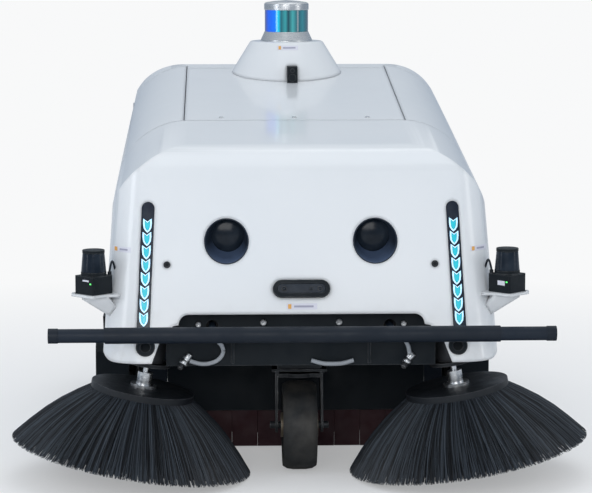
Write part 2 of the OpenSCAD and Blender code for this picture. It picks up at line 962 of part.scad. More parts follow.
chassis_frame();
roof_frame();
front_cover();
spine_panel();
rear_surround();
sensor_pod();
pod_camera();
top_lidar_base();
top_lidar_window();
top_lidar_cap();
headlamp_housings();
headlamp_lenses();
led_bars();
led_chevrons();
range_sensors();
camera_housing();
camera_glass();
sensor_brackets();
side_lidar_bodies();
side_lidar_windows();
front_panel();
battery_pack();
control_computer();
roller_housing();
front_flap();
side_sills();
hoses();
wheel_motors();
rear_bumper();
tow_eye();
tail_lamps();
cover_screws();
caster_plate();
fan_housing();
fan_impeller();
bumper_tube();
bumper_sleeve();
bumper_end_caps();
brush_arm_left();
brush_motor_left();
brush_hub_left();
brush_plate_left();
brush_bristles_left();
brush_arm_right();
brush_motor_right();
brush_hub_right();
brush_plate_right();
brush_bristles_right();
caster_fork();
caster_wheel();
caster_tyre();
drive_wheel_left();
drive_wheel_right();
roller_core();
roller_bristles();
hopper_bin();
hopper_fascia();
door_left();
door_right();
estop_button();
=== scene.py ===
"""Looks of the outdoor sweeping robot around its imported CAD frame. Metres, front faces -Y."""
import json
import math
import random

import bmesh
import bpy
from mathutils import Matrix, Vector
from mathutils.bvhtree import BVHTree


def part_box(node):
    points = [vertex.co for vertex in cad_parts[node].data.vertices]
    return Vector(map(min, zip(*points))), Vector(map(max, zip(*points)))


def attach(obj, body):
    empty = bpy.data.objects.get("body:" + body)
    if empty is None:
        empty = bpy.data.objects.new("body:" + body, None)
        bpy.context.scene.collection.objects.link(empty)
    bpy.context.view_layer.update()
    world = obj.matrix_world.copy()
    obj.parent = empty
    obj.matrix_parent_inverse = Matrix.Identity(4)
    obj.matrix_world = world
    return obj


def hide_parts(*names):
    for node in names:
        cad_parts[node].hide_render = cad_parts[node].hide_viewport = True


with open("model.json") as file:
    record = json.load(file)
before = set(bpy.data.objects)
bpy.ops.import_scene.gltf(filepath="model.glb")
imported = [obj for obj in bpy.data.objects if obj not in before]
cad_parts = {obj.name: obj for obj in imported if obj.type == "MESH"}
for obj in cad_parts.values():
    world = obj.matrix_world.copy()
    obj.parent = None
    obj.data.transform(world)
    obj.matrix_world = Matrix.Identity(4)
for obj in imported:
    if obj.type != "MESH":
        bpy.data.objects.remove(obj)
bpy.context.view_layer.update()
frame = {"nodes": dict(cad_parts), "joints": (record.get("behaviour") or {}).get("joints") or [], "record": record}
NODES = frame["nodes"]
SLOT_OF = {s["node"]: s["material_slot"] for s in frame["record"]["subparts"]}
JOINTS = {j["name"]: j for j in frame["joints"]}

UP = Vector((0, 0, 1))
FRONT_RAY_Y = -2.0       # where rays that look for the front of the machine start
RAY_BACK = (0, 1, 0)     # their direction


# ---- node-based materials ----

class Shader:
    """A small builder around one material's node tree."""

    def __init__(self, name):
        self.mat = bpy.data.materials.new(name)
        self.mat.use_nodes = True
        self.tree = self.mat.node_tree
        self.bsdf = self.tree.nodes["Principled BSDF"]
        self.coord = self.node("ShaderNodeTexCoord").outputs["Object"]

    def node(self, kind, **inputs):
        made = self.tree.nodes.new(kind)
        for key, value in inputs.items():
            self.put(made, key.replace("_", " "), value)
        return made

    def put(self, node, key, value):
        if isinstance(value, bpy.types.NodeSocket):
            self.tree.links.new(value, node.inputs[key])
        else:
            node.inputs[key].default_value = value

    def set(self, **inputs):
        for key, value in inputs.items():
            self.put(self.bsdf, key.replace("_", " "), value)
        return self

    def noise(self, scale, detail=4.0, stretch=(1, 1, 1)):
        mapped = self.node("ShaderNodeMapping", Vector=self.coord, Scale=stretch)
        made = self.node("ShaderNodeTexNoise", Vector=mapped.outputs[0], Scale=scale, Detail=detail)
        return made.outputs["Fac"]

    def ramp(self, factor, low, high, start=0.3, end=0.7):
        made = self.node("ShaderNodeMapRange", Value=factor)
        made.inputs["From Min"].default_value = start
        made.inputs["From Max"].default_value = end
        made.inputs["To Min"].default_value = low
        made.inputs["To Max"].default_value = high
        return made.outputs[0]

    def mix(self, factor, a, b):
        made = self.tree.nodes.new("ShaderNodeMix")
        made.data_type = "RGBA"
        for index, value in ((0, factor), (6, a), (7, b)):
            self.put(made, index, value)
        return made.outputs[2]

    def math(self, operation, a, b=0.0):
        made = self.tree.nodes.new("ShaderNodeMath")
        made.operation = operation
        for index, value in ((0, a), (1, b)):
            self.put(made, index, value)
        return made.outputs[0]

    def axis(self, name):
        split = self.node("ShaderNodeSeparateXYZ", Vector=self.coord)
        return split.outputs[name]

    def bump(self, height, strength, distance=0.001):
        made = self.node("ShaderNodeBump", Height=height, Strength=strength, Distance=distance)
        self.tree.links.new(made.outputs[0], self.bsdf.inputs["Normal"])
        return self

    def round_creases(self, radius):
        """Softens the shading where two surfaces meet."""
        bevel = self.node("ShaderNodeBevel", Radius=radius)
        bevel.samples = 6
        bump = self.bsdf.inputs["Normal"].links[0].from_node
        self.tree.links.new(bevel.outputs[0], bump.inputs["Normal"])
        return self

    def edge_wear(self, radius=0.003):
        """0 on flat faces, rising on sharp edges."""
        bevel = self.node("ShaderNodeBevel", Radius=radius)
        normal = self.node("ShaderNodeNewGeometry").outputs["Normal"]
        dot = self.tree.nodes.new("ShaderNodeVectorMath")
        dot.operation = "DOT_PRODUCT"
        self.tree.links.new(bevel.outputs[0], dot.inputs[0])
        self.tree.links.new(normal, dot.inputs[1])
        return self.ramp(dot.outputs["Value"], 1.0, 0.0, 0.85, 0.995)


def rgb(r, g, b):
    return (r, g, b, 1.0)


def plain(name, base, second, rough, metal=0.0, grain=900.0, bump=0.15, wear=None, coat=0.0,
          stretch=(1, 1, 1), shine=0.5):
    """Base colour drifting to a second one, uneven roughness, fine grain, optional worn edges."""
    s = Shader(name)
    colour = s.mix(s.ramp(s.noise(7.0, 6.0), 0.0, 1.0), base, second)
    if wear:
        colour = s.mix(s.math("MULTIPLY", s.edge_wear(), s.ramp(s.noise(60.0), 0.1, 1.0)),
                       colour, wear)
    smear = s.noise(25.0, 5.0, stretch)
    s.set(Base_Color=colour, Metallic=metal, Coat_Weight=coat, Coat_Roughness=0.06,
          Specular_IOR_Level=shine, Roughness=s.ramp(smear, rough * 0.8, min(1.0, rough * 1.3)))
    s.bump(s.noise(grain, 3.0, stretch), bump, 0.0004)
    return s


def glossy_shell():
    """White moulded cover under clear lacquer, with faint road dust low down."""
    s = Shader("shell_white")
    tint = s.mix(s.ramp(s.noise(2.2, 2.0), 0.0, 1.0), rgb(0.76, 0.78, 0.80), rgb(0.81, 0.82, 0.83))
    low = s.ramp(s.axis("Z"), 1.0, 0.0, 0.27, 0.42)
    dust = s.math("MULTIPLY", low, s.ramp(s.noise(38.0, 8.0), 0.0, 0.28, 0.42, 0.75))
    s.set(Base_Color=s.mix(dust, tint, rgb(0.45, 0.42, 0.38)), Coat_Weight=0.55,
          Coat_Roughness=0.09, Roughness=s.ramp(s.noise(14.0, 4.0), 0.28, 0.40), IOR=1.45)
    s.bump(s.noise(160.0, 2.0), 0.012, 0.0003)
    s.round_creases(0.013)
    return s


def window_drum():
    """Coated lidar window with painted reflections: blue on the left, teal and dark upright bands to the right,
    and a painted glow.
    """
    s = Shader("lidar_window")
    low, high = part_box("top_lidar_window")
    x = s.ramp(s.axis("X"), 0.0, 1.0, low.x, high.x)
    # painted reflection: upright bands across the drum stand in for the surroundings mirrored in the window
    painted_reflection_bands = s.node("ShaderNodeValToRGB", Fac=x)
    stops = [(0.0, (0.01, 0.02, 0.16)), (0.07, (0.0, 0.10, 0.75)), (0.22, (0.0, 0.16, 0.85)),
             (0.30, (0.0, 0.55, 0.75)), (0.36, (0.01, 0.10, 0.13)), (0.46, (0.03, 0.28, 0.30)),
             (0.53, (0.005, 0.04, 0.06)), (0.63, (0.05, 0.33, 0.34)), (0.74, (0.01, 0.07, 0.10)),
             (0.86, (0.02, 0.18, 0.22)), (1.0, (0.005, 0.03, 0.05))]
    ramp = painted_reflection_bands.color_ramp
    ramp.elements[0].position, ramp.elements[0].color = stops[0][0], rgb(*stops[0][1])
    ramp.elements[1].position, ramp.elements[1].color = stops[-1][0], rgb(*stops[-1][1])
    for place, colour in stops[1:-1]:
        ramp.elements.new(place).color = rgb(*colour)
    s.set(Base_Color=painted_reflection_bands.outputs[0], Roughness=s.ramp(s.noise(40.0), 0.05, 0.12),
          Coat_Weight=1.0, Coat_Roughness=0.02)
    # painted glow: the window is no lamp, so this emission stands in for reflected light
    s.set(Emission_Color=painted_reflection_bands.outputs[0], Emission_Strength=0.35)
    s.bump(s.noise(150.0), 0.02, 0.0003)
    return s


def glowing(name, core, strength):
    s = Shader(name)
    glow = s.ramp(s.noise(220.0, 2.0), 0.8, 1.1)
    s.set(Base_Color=core, Roughness=0.25, Emission_Color=core,
          Emission_Strength=s.math("MULTIPLY", glow, strength), Coat_Weight=0.6)
    s.bump(s.noise(800.0), 0.05, 0.0003)
    return s


def brushed(name, base, rough=0.28):
    """Turned metal: fine rings of uneven roughness."""
    s = plain(name, base, rgb(*[c * 0.8 for c in base[:3]]), rough, 1.0, 400.0, 0.12,
              rgb(0.9, 0.9, 0.9), stretch=(1, 1, 12))
    s.bsdf.inputs["Anisotropic"].default_value = 0.4
    return s


def dusty_rubber(name, base, dust, amount):
    s = Shader(name)
    film = s.ramp(s.noise(18.0, 8.0), 0.0, amount, 0.38, 0.72)
    s.set(Base_Color=s.mix(film, base, dust), Roughness=s.ramp(s.noise(30.0), 0.55, 0.85))
    s.bump(s.noise(500.0, 4.0), 0.25, 0.0005)
    return s


def filament():
    """Dark plastic bristles, a little lighter towards the worn tips."""
    s = Shader("bristle")
    strand = s.noise(420.0, 1.0)
    tone = s.node("ShaderNodeNewGeometry").outputs["Random Per Island"]
    colour = s.mix(s.ramp(tone, 0.0, 1.0, 0.35, 1.0), rgb(0.002, 0.003, 0.005),
                   rgb(0.050, 0.062, 0.078))
    worn = s.ramp(s.axis("Z"), 0.28, 0.0, 0.0, 0.07)
    s.set(Base_Color=s.mix(worn, colour, rgb(0.05, 0.05, 0.055)), Roughness=0.5,
          Specular_IOR_Level=0.3)
    s.bump(strand, 0.1, 0.0004)
    return s


def funnel_paint():
    """Dark lining of the headlamp funnels, paler where it faces up: a painted reflection of the sky."""
    s = Shader("lamp_grey")
    normal = s.node("ShaderNodeNewGeometry").outputs["Normal"]
    up = s.node("ShaderNodeSeparateXYZ", Vector=normal).outputs["Z"]
    dark = s.mix(s.ramp(s.noise(30.0), 0.0, 1.0), rgb(0.010, 0.016, 0.027),
                 rgb(0.016, 0.024, 0.038))
    # painted reflection: the lining turns pale blue-grey where its normal points up, standing in for the sky seen
    # in the funnel wall
    s.set(Base_Color=s.mix(s.ramp(up, 0.0, 1.0, 0.25, 0.85), dark, rgb(0.060, 0.088, 0.15)),
          Roughness=s.ramp(s.noise(60.0), 0.35, 0.5), Specular_IOR_Level=0.3)
    s.bump(s.noise(700.0), 0.1, 0.0003)
    return s


def smooth_window(name, base, shine=0.5, coat=0.3):
    s = Shader(name)
    s.set(Base_Color=s.mix(s.ramp(s.noise(30.0), 0, 1), base, rgb(0.02, 0.028, 0.04)),
          Roughness=s.ramp(s.noise(50.0), 0.14, 0.22), Coat_Weight=coat, Coat_Roughness=0.12,
          Specular_IOR_Level=shine)
    s.bump(s.noise(120.0), 0.02, 0.0003)
    return s


BLACK_WEAR = rgb(0.10, 0.105, 0.11)
MATERIALS = {
    "shell_white": glossy_shell(),
    "frame_paint": plain("frame_paint", rgb(0.012, 0.014, 0.017), rgb(0.02, 0.022, 0.025),
                         0.5, 0.2, wear=rgb(0.2, 0.2, 0.2), shine=0.3),
    "black_plastic": plain("black_plastic", rgb(0.002, 0.005, 0.008), rgb(0.004, 0.008, 0.012),
                           0.5, grain=1500.0, bump=0.3, wear=BLACK_WEAR, shine=0.22),
    "bar_paint": plain("bar_paint", rgb(0.004, 0.010, 0.020), rgb(0.008, 0.015, 0.027), 0.5,
                       grain=1200.0, bump=0.12, wear=rgb(0.05, 0.06, 0.08), shine=0.3),
    "rubber_black": plain("rubber_black", rgb(0.003, 0.008, 0.016), rgb(0.006, 0.011, 0.020),
                          0.5, grain=1100.0, bump=0.3, shine=0.3),
    "silver": brushed("silver", rgb(0.72, 0.73, 0.74)),
    "lidar_window": window_drum(),
    "dark_lens": smooth_window("dark_lens", rgb(0.006, 0.011, 0.019), 0.2, 0.0),
    "lamp_grey": funnel_paint(),
    "led_body": smooth_window("led_body", rgb(0.004, 0.008, 0.022), 0.3, 0.1),
    "led_light": glowing("led_light", rgb(0.005, 0.36, 0.44), 0.75),
    "led_rim": glowing("led_rim", rgb(0.45, 0.74, 0.93), 0.75),
    "flap_rubber": dusty_rubber("flap_rubber", rgb(0.022, 0.001, 0.005),
                                rgb(0.045, 0.012, 0.014), 0.4),
    "bristle": filament(),
    "brush_black": plain("brush_black", rgb(0.006, 0.008, 0.011), rgb(0.012, 0.015, 0.019), 0.5,
                         grain=1300.0, bump=0.3, wear=rgb(0.10, 0.10, 0.11), shine=0.35),
    "motor_metal": plain("motor_metal", rgb(0.02, 0.022, 0.026), rgb(0.04, 0.042, 0.046), 0.4,
                         0.5, wear=rgb(0.35, 0.35, 0.35)),
    "battery_blue": plain("battery_blue", rgb(0.02, 0.06, 0.16), rgb(0.03, 0.08, 0.2), 0.5),
    "computer_grey": brushed("computer_grey", rgb(0.33, 0.35, 0.37), 0.38),
    "hose_grey": plain("hose_grey", rgb(0.26, 0.28, 0.31), rgb(0.36, 0.38, 0.40), 0.4),
    "tow_red": plain("tow_red", rgb(0.32, 0.02, 0.012), rgb(0.38, 0.035, 0.02), 0.35, 0.1,
                     wear=rgb(0.25, 0.24, 0.23), coat=0.3),
    "lamp_red": smooth_window("lamp_red", rgb(0.35, 0.008, 0.008)),
    "button_red": plain("button_red", rgb(0.5, 0.01, 0.01), rgb(0.55, 0.02, 0.015), 0.25,
                        coat=0.6),
    "caster_metal": plain("caster_metal", rgb(0.13, 0.105, 0.075), rgb(0.22, 0.18, 0.13), 0.5,
                          0.7, wear=rgb(0.45, 0.43, 0.4)),
    "tyre_black": dusty_rubber("tyre_black", rgb(0.006, 0.007, 0.008),
                               rgb(0.07, 0.062, 0.052), 0.5),
    "label_pale": plain("label_pale", rgb(0.70, 0.70, 0.78), rgb(0.74, 0.74, 0.80), 0.4),
    "label_amber": plain("label_amber", rgb(0.75, 0.36, 0.06), rgb(0.80, 0.42, 0.10), 0.4),
    "label_grey": plain("label_grey", rgb(0.34, 0.34, 0.44), rgb(0.40, 0.40, 0.50), 0.4),
    "led_green": glowing("led_green", rgb(0.1, 0.8, 0.15), 1.5),
}


# ---- helpers ----

def assign(obj, slot):
    obj.data.materials.clear()
    obj.data.materials.append(MATERIALS[slot].mat)
    return obj


def link_new(name, data):
    obj = bpy.data.objects.new(name, data)
    bpy.context.scene.collection.objects.link(obj)
    return obj


def add_piece(name, mesh, slot, body, *replaced, smooth=True):
    """Puts a finished mesh in the scene as a named piece that rides on a body."""
    obj = link_new(name, mesh)
    assign(obj, slot)
    if smooth:
        mesh.polygons.foreach_set("use_smooth", [True] * len(mesh.polygons))
    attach(obj, body)
    if replaced:
        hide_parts(*replaced)
    return obj


def mesh_from(name, verts, faces):
    mesh = bpy.data.meshes.new(name)
    mesh.from_pydata([tuple(v) for v in verts], [], faces)
    mesh.validate()
    return mesh


def face_outwards(mesh, weld=0.0):
    """Turns all faces outwards, after joining points closer than the weld distance."""
    bm = bmesh.new()
    bm.from_mesh(mesh)
    if weld:
        bmesh.ops.remove_doubles(bm, verts=bm.verts, dist=weld)
    bmesh.ops.recalc_face_normals(bm, faces=bm.faces)
    bm.to_mesh(mesh)
    bm.free()
    return mesh


def band_faces(rings, sides, start=0):
    """Side faces between consecutive rings of points."""
    faces = []
    for i in range(rings - 1):
        a, b = start + i * sides, start + (i + 1) * sides
        for k in range(sides):
            n = (k + 1) % sides
            faces.append((a + k, a + n, b + n, b + k))
    return faces


def circle(sides):
    """The angle of each point of a ring."""
    return [math.tau * k / sides for k in range(sides)]


def seat_at(place, axis):
    """Matrix with its origin at a place and its z axis along a direction."""
    turn = UP.rotation_difference(Vector(axis))
    return Matrix.Translation(place) @ turn.to_matrix().to_4x4()


def soften(obj, width, segments=2, angle=0.6):
    """Rounds the edges of a piece and shades it smoothly."""
    bevel = obj.modifiers.new("rounded", "BEVEL")
    bevel.width = width
    bevel.segments = segments
    bevel.limit_method = "ANGLE"
    bevel.angle_limit = angle
    bevel.use_clamp_overlap = True
    normals = obj.modifiers.new("normals", "WEIGHTED_NORMAL")
    normals.keep_sharp = True
    return obj


def tidy_copy(node, name, slot, body, width, angle=30.0):
    """A copy of a CAD cover whose flat facets are merged and shaded as one smooth surface."""
    bm = bmesh.new()
    bm.from_mesh(NODES[node].data)
    bmesh.ops.remove_doubles(bm, verts=bm.verts, dist=WELD)
    bmesh.ops.dissolve_limit(bm, angle_limit=FLAT, verts=bm.verts, edges=bm.edges)
    limit = math.radians(angle)
    for edge in bm.edges:
        edge.smooth = len(edge.link_faces) == 2 and edge.calc_face_angle(9) < limit
    mesh = bpy.data.meshes.new(name)
    bm.to_mesh(mesh)
    bm.free()
    obj = add_piece(name, mesh, slot, body, node)
    return soften(obj, width, 3, limit)


def tube(name, points, radius, slot, body, ribs=0.0, sides=16):
    """Round tube along points, with optional ribs, closed at both ends."""
    verts = []
    count = len(points)
    for i, point in enumerate(points):
        before, after = points[max(i - 1, 0)], points[min(i + 1, count - 1)]
        along = (Vector(after) - Vector(before)).normalized()
        side = along.cross(UP)
        side = side.normalized() if side.length > 1e-4 else Vector((1, 0, 0))
        up = side.cross(along)
        r = radius * (1 + ribs * (i % 2))
        verts += [Vector(point) + r * (math.cos(a) * side + math.sin(a) * up)
                  for a in circle(sides)]
    faces = band_faces(count, sides)
    faces.append(tuple(range(sides)))
    faces.append(tuple(reversed(range((count - 1) * sides, count * sides))))
    return add_piece(name, mesh_from(name, verts, faces), slot, body)


def turned(name, profile, slot, body, place, *replaced, sides=96):
    """Closed solid of revolution: profile is (radius, height) from axis to axis; place a matrix."""
    verts = [place @ Vector((r * math.cos(a), r * math.sin(a), z))
             for r, z in profile for a in circle(sides)]
    mesh = mesh_from(name, verts, band_faces(len(profile), sides))
    return add_piece(name, face_outwards(mesh, 1e-6), slot, body, *replaced)


def tree_of(node):
    bm = bmesh.new()
    bm.from_mesh(NODES[node].data)
    found = BVHTree.FromBMesh(bm)
    bm.free()
    return found


def cast(tree, start, direction):
    """Where a ray meets a CAD surface, and the surface's outward normal there."""
    place, normal, _, _ = tree.ray_cast(Vector(start), Vector(direction))
    if normal.dot(Vector(direction)) > 0:
        normal = -normal
    return place, normal


def front_point(tree, x, z):
    return cast(tree, (x, FRONT_RAY_Y, z), RAY_BACK)


def patch(name, slot, body, tree, ray_at, lift, thick, steps=8):
    """Thin label that follows a surface; ray_at(u, v) gives each ray's start and direction."""
    verts, faces = [], []
    for layer in (lift, lift + thick):
        for i in range(steps + 1):
            for j in range(steps + 1):
                start, direction = ray_at(i / steps, j / steps)
                place, normal = cast(tree, start, direction)
                verts.append(place + normal * layer)
    n = steps + 1
    base = n * n
    for i in range(steps):
        for j in range(steps):
            a, b, c, d = i * n + j, (i + 1) * n + j, (i + 1) * n + j + 1, i * n + j + 1
            faces.append((a, d, c, b))
            faces.append((base + a, base + b, base + c, base + d))
    rim = ([(0, j) for j in range(n)] + [(i, n - 1) for i in range(1, n)]
           + [(n - 1, j) for j in range(n - 2, -1, -1)] + [(i, 0) for i in range(n - 2, 0, -1)])
    for k, (i, j) in enumerate(rim):
        p, q = rim[(k + 1) % len(rim)]
        a, b = i * n + j, p * n + q
        faces.append((a, b, base + b, base + a))
    mesh = face_outwards(mesh_from(name, verts, faces))
    return add_piece(name, mesh, slot, body, smooth=False)


def front_patch(name, slot, body, tree, x, z, width, height, lift=0.0002, thick=0.0004):
    """Label on the front, centred at (x, z)."""
    def ray(u, v):
        return (x + (u - 0.5) * width, FRONT_RAY_Y, z + (v - 0.5) * height), RAY_BACK
    return patch(name, slot, body, tree, ray, lift, thick)


# ---- covers and the CAD nodes that stay ----

COVERS = {
    "front_cover": "chassis", "spine_panel": "chassis", "rear_surround": "chassis",
    "sensor_pod": "chassis", "door_left": "side_door_left", "door_right": "side_door_right",
}
COVER_EDGE = 0.0012      # rounding of the covers' edges
FINE_EDGE = 0.0008
WELD = 1e-5              # points closer than this are one point
FLAT = math.radians(0.4)  # facets that meet at less than this are one face
SHARP = math.radians(32)


def build_covers():
    for node, body in COVERS.items():
        tidy_copy(node, node + "_shell", "shell_white", body, COVER_EDGE)


def dress_cad():
    """Materials for every CAD node; the ones that stay in sight get rounded edges."""
    for name, obj in NODES.items():
        assign(obj, SLOT_OF[name])
        if obj.hide_render:
            continue
        mesh = obj.data
        if "custom_normal" in mesh.attributes:
            mesh.attributes.remove(mesh.attributes["custom_normal"])
        mesh.polygons.foreach_set("use_smooth", [True] * len(mesh.polygons))
        weld = obj.modifiers.new("weld", "WELD")
        weld.merge_threshold = WELD
        flat = obj.modifiers.new("flat", "DECIMATE")
        flat.decimate_type = "DISSOLVE"
        flat.angle_limit = FLAT
        soften(obj, FINE_EDGE, 2, SHARP)


# ---- brushes ----

PLATE_R = 0.1135         # where the filaments leave the plate
TIP_R = 0.2685
ROOT_DEPTH = 0.0085      # below the origin of the spin joint, as TIP_DEPTH is
TIP_DEPTH = 0.149
TUFTS = 96
SKIRT_LAYERS = ((2300, 0.0, 1.0), (1300, 0.007, 0.99), (700, 0.016, 0.96))  # count, inset, reach
SKIRT_POINTS = 6         # along one filament
SKIRT_LINING = ((0.088, -0.012), (0.104, -0.012), (0.246, -0.136), (0.240, -0.140),
                (0.088, -0.012))
SEEDS = {"left": 11, "right": 23, "roller": 5}
ROLLER_ROWS, ROLLER_COLUMNS = 22, 120
ROLLER_CORE_R = 0.041
FLAP_STRIPS, FLAP_STEPS = 11, 8
FLAP_GAP = 0.0004
FLAP_HALF_THICK = 0.0018


def joint_frame(name):
    """Matrix whose z axis is a hinge's axis and whose origin is on it."""
    joint = JOINTS[name]
    return seat_at(joint["pos_m"], joint["axis"])


def strand(verts, faces, path, width, side):
    """Adds one three-sided filament that thins towards its tip."""
    start = len(verts)
    rings = len(path)
    for i, point in enumerate(path):
        along = (path[min(i + 1, rings - 1)] - path[max(i - 1, 0)]).normalized()
        up = along.cross(side).normalized()
        w = width * (1.0 - 0.35 * i / (rings - 1))
        verts.extend((point + side * w, point - side * w, point + up * w * 0.9))
    faces += band_faces(rings, 3, start)
    faces.append((start + 2, start + 1, start))
    end = start + 3 * (rings - 1)
    faces.append((end, end + 1, end + 2))


def brush_skirt(side):
    """Flared skirt of filaments in three layers, with ragged tips."""
    place = joint_frame("spin_" + side)
    random.seed(SEEDS[side])
    verts, faces = [], []
    for count, inward, share in SKIRT_LAYERS:
        for i in range(count):
            tuft = math.floor(TUFTS * i / count)
            clump = math.tau * tuft / TUFTS
            a = clump + random.gauss(0, 0.024) + math.tau * (i / count - tuft / TUFTS) * 0.7
            sweep = random.gauss(0.02, 0.018)
            reach = share * random.uniform(0.965, 1.0)
            lift = random.uniform(0.004, 0.009)
            path = []
            for k in range(SKIRT_POINTS):
                t = reach * k / (SKIRT_POINTS - 1)
                bulge = lift * math.sin(math.pi * t)
                r = PLATE_R - inward + (TIP_R - PLATE_R) * t + bulge * 0.6
                h = -ROOT_DEPTH - (TIP_DEPTH - ROOT_DEPTH) * t + bulge
                b = a + sweep * t * t
                path.append(Vector((r * math.cos(b), r * math.sin(b), h)))
            across = Vector((-math.sin(a), math.cos(a), 0))
            strand(verts, faces, path, random.uniform(0.0009, 0.0015), across)
    verts = [place @ v for v in verts]
    name = "brush_skirt_" + side
    add_piece(name, mesh_from(name, verts, faces), "bristle", "brush_" + side,
              "brush_bristles_" + side, smooth=False)
    turned("brush_lining_" + side, SKIRT_LINING, "bristle", "brush_" + side, place)


def roller_rows():
    """Helical rows of tufts round the roller."""
    place = Matrix.Translation(JOINTS["roller_spin"]["pos_m"])
    random.seed(SEEDS["roller"])
    low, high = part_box("roller_bristles")
    half = (high.x - low.x) / 2 - 0.006
    radius = (high.z - low.z) / 2 - 0.0015
    verts, faces = [], []
    for row in range(ROLLER_ROWS):
        for column in range(ROLLER_COLUMNS):
            x = -half + 2 * half * column / (ROLLER_COLUMNS - 1)
            a = math.tau * (row / ROLLER_ROWS + 0.35 * x / half) + random.gauss(0, 0.012)
            out = Vector((0, math.cos(a), math.sin(a)))
            tip = radius * random.uniform(0.97, 1.0)
            path = [Vector((x, 0, 0)) + out * r for r in (ROLLER_CORE_R, 0.09, tip)]
            lean = Vector((random.gauss(0, 0.003), 0, 0))
            path[2] = path[2] + lean
            strand(verts, faces, path, 0.0026, Vector((1, 0, 0)))
    verts = [place @ v for v in verts]
    add_piece("roller_tufts", mesh_from("roller_tufts", verts, faces), "bristle", "roller",
              "roller_bristles", smooth=False)


def flap_strips():
    """Rubber flap cut into strips that curl a little towards their lower edge."""
    low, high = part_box("front_flap")
    pitch = (high.x - low.x) / FLAP_STRIPS
    verts, faces = [], []
    for i in range(FLAP_STRIPS):
        x0 = low.x + i * pitch + FLAP_GAP / 2
        x1 = x0 + pitch - FLAP_GAP
        start = len(verts)
        for k in range(FLAP_STEPS + 1):
            t = k / FLAP_STEPS
            z = high.z - (high.z - low.z) * t
            curl = 0.0012 * math.sin(2.2 * t + i * 1.7)
            y = (low.y + high.y) / 2 + curl
            for x, s in ((x0, -1), (x1, -1), (x1, 1), (x0, 1)):
                verts.append(Vector((x, y + s * FLAP_HALF_THICK, z)))
        faces += band_faces(FLAP_STEPS + 1, 4, start)
        faces.append((start + 3, start + 2, start + 1, start))
        end = start + FLAP_STEPS * 4
        faces.append((end, end + 1, end + 2, end + 3))
    obj = add_piece("flap_strips", mesh_from("flap_strips", verts, faces), "flap_rubber",
                    "chassis", "front_flap")
    soften(obj, 0.0006, 2, 0.8)


# ---- lamps and light strips ----

FUNNEL_SIDES = 72


def lamp_funnels():
    """Ring and eccentric funnel between each round opening and its inner lens."""
    cover = tree_of("front_cover")
    low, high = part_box("headlamp_housings")
    lens_low, lens_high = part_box("headlamp_lenses")
    eye_r = (high.z - low.z) / 2
    eye = Vector((high.x - eye_r, 0, (low.z + high.z) / 2))
    lens_r = (lens_high.z - lens_low.z) / 2
    lens = Vector((lens_high.x - lens_r, 0, (lens_low.z + lens_high.z) / 2))
    back = lens_low.y
    loops_from = (    # radius, share of the way to the lens, depth behind the cover
        (eye_r, 0.0, None), (eye_r, 0.0, 0.0012), (eye_r - 0.0022, 0.0, 0.0004),
        (eye_r - 0.004, 0.02, 0.003), (eye_r - 0.007, 0.35, 0.5),
        (lens_r + 0.0012, 1.0, 1.0), (lens_r - 0.002, 1.0, None))
    verts, faces = [], []
    for s in (-1, 1):
        loops = []
        for r, share, depth in loops_from:
            loop = []
            for a in circle(FUNNEL_SIDES):
                x = eye.x + (lens.x - eye.x) * share + r * math.cos(a)
                z = eye.z + (lens.z - eye.z) * share + r * math.sin(a)
                rim = front_point(cover, eye.x + (eye_r + 0.002) * math.cos(a),
                                  eye.z + (eye_r + 0.002) * math.sin(a))[0].y
                if depth is None:
                    y = back + 0.004
                elif depth < 0.1:
                    y = rim + 0.0012 + depth
                else:
                    y = rim + (back - 0.002 - rim) * (0.72 if depth < 1 else 1.0)
                loop.append(len(verts))
                verts.append(Vector((s * x, y, z)))
            loops.append(loop)
        loops.append(loops[0])
        for outer, inner in zip(loops, loops[1:]):
            for k in range(FUNNEL_SIDES):
                n = (k + 1) % FUNNEL_SIDES
                faces.append((outer[k], outer[n], inner[n], inner[k]))
    mesh = face_outwards(mesh_from("lamp_funnels", verts, faces))
    soften(add_piece("lamp_funnels", mesh, "lamp_grey", "chassis", "headlamp_housings"),
           0.0004, 2, 0.7)


SHIELD = ((-0.97, 1.07), (-0.5, 0.86), (0.0, 0.62), (0.5, 0.86), (0.97, 1.07), (1.0, 0.35),
          (0.88, -0.30), (0.52, -0.70), (0.0, -1.0), (-0.52, -0.70), (-0.88, -0.30), (-1.0, 0.35))
LIGHT_COUNT = 8
LIGHT_SIZE = (0.0093, 0.0155, 0.0145)    # half width, rise and drop of a CAD element
LIGHT_LEAN = math.tan(math.radians(2.4))
RIM_OVERHANG = 0.0003                    # how far a rim's side stands out over its element


def shield_loop(tree, x, z, half_w, half_h, lift):
    loop = []
    for u, v in SHIELD:
        place, normal = front_point(tree, x + u * half_w, z + v * half_h)
        loop.append(place + normal * lift)
    return loop


def ring_faces(base, loops, count):
    """Side faces between consecutive loops of a closed tube."""
    faces = []
    for i in range(len(loops)):
        j = (i + 1) % len(loops)
        for k in range(count):
            n = (k + 1) % count
            faces.append((base + loops[i] * count + k, base + loops[i] * count + n,
                          base + loops[j] * count + n, base + loops[j] * count + k))
    return faces


